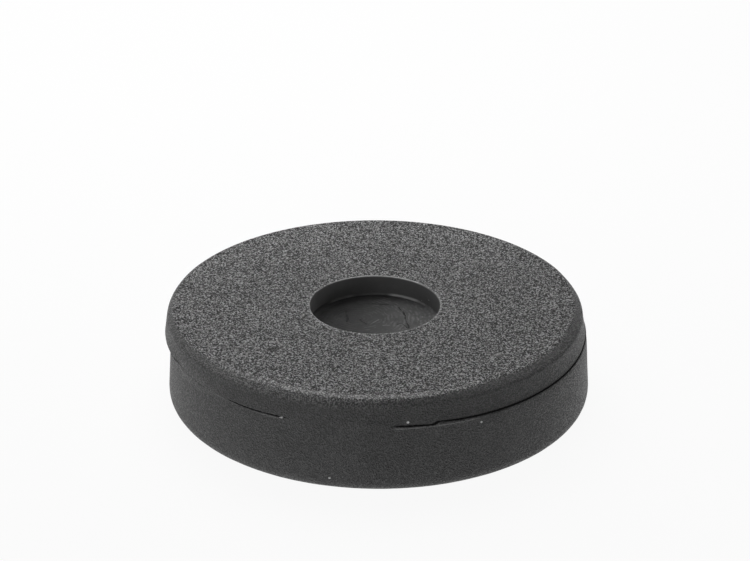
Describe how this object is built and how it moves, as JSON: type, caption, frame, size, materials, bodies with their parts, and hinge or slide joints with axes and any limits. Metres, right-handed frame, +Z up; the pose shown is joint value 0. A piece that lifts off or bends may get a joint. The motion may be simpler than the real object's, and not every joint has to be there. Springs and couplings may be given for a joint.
{
  "type": "furniture glide",
  "caption": "Round moulded disc that a bench or desk foot stands on, with a flat sole, a rounded shoulder and a shallow round recess in the top for the end of a levelling bolt.",
  "frame": {"origin": "middle of the sole, under the recess's centre", "axes": "+Z up out of the recess along the disc's axis; +X is the way the lower half is set off from the upper half"},
  "size_m": [0.0406, 0.0406, 0.009],
  "materials": {
    "moulding": "matte, fine mould grain outside, smooth and scuffed in the recess"
  },
  "bodies": {
    "root": {"glide_disc": "moulding"}
  },
  "joints": []
}
